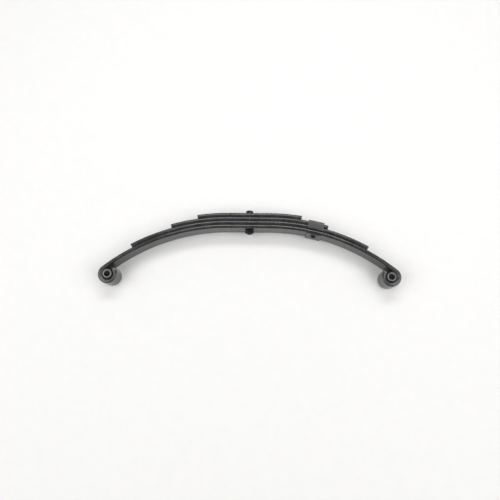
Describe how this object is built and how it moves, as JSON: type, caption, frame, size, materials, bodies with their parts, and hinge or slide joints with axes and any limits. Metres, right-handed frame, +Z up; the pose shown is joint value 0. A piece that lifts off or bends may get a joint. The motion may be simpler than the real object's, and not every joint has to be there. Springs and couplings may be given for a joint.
{
  "type": "leaf spring",
  "caption": "Semi-elliptic trailer leaf spring: stacked arched steel leaves, a rolled eye with a rubber bush at each end, a centre bolt and a rebound clip.",
  "frame": {"origin": "on the centre bolt's axis, at the short leaf's upper face, where the axle seat bears", "axes": "+X along the spring towards the end with the rebound clip, +Y across the leaves, +Z up along the centre bolt towards its round head"},
  "size_m": [0.6848, 0.051, 0.1805],
  "materials": {
    "leaf_paint": "semi-gloss black paint over spring steel",
    "clip_paint": "semi-gloss black paint over mild steel strap",
    "bolt_steel": "black paint over steel fastener",
    "bush_rubber": "matt black rubber",
    "sleeve_steel": "bare turned steel"
  },
  "bodies": {
    "leaf_pack": {"main_leaf": "leaf_paint", "second_leaf": "leaf_paint", "third_leaf": "leaf_paint", "short_leaf": "leaf_paint", "centre_bolt": "bolt_steel", "centre_nut": "bolt_steel"},
    "left_end": {"left_bush": "bush_rubber"},
    "right_end": {"right_bush": "bush_rubber"},
    "left_tube": {"left_sleeve": "sleeve_steel"},
    "right_tube": {"right_sleeve": "sleeve_steel"},
    "rebound_clip": {"clip_strap": "clip_paint", "clip_rivet": "bolt_steel"}
  },
  "joints": [
    {"name": "left_flex", "type": "hinge", "parent": "leaf_pack", "child": "left_end", "pos_m": [-0.11, 0, -0.03185], "axis": [0, 1, 0], "range_deg": [-2, 12], "stiffness_Nm_per_rad": 6000, "deforming": ["main_leaf", "second_leaf", "third_leaf", "short_leaf"]},
    {"name": "right_flex", "type": "hinge", "parent": "leaf_pack", "child": "right_end", "pos_m": [0.11, 0, -0.03185], "axis": [0, -1, 0], "range_deg": [-2, 12], "stiffness_Nm_per_rad": 6000, "deforming": ["main_leaf", "second_leaf", "third_leaf", "short_leaf"]},
    {"name": "clip_ride", "type": "hinge", "parent": "leaf_pack", "child": "rebound_clip", "pos_m": [0.1184, 0, -0.0327], "axis": [0, -1, 0], "range_deg": [-1.1, 6.2], "deforming": ["main_leaf", "second_leaf", "third_leaf", "short_leaf"]},
    {"name": "left_twist", "type": "hinge", "parent": "left_end", "child": "left_tube", "pos_m": [-0.32067, 0, -0.14679], "axis": [0, 1, 0], "range_deg": [-20, 20], "stiffness_Nm_per_rad": 20},
    {"name": "right_twist", "type": "hinge", "parent": "right_end", "child": "right_tube", "pos_m": [0.32067, 0, -0.14679], "axis": [0, 1, 0], "range_deg": [-20, 20], "stiffness_Nm_per_rad": 20}
  ],
  "couplings": [
    {"joint": "clip_ride", "follows": "right_flex", "ratio": 0.4974}
  ]
}
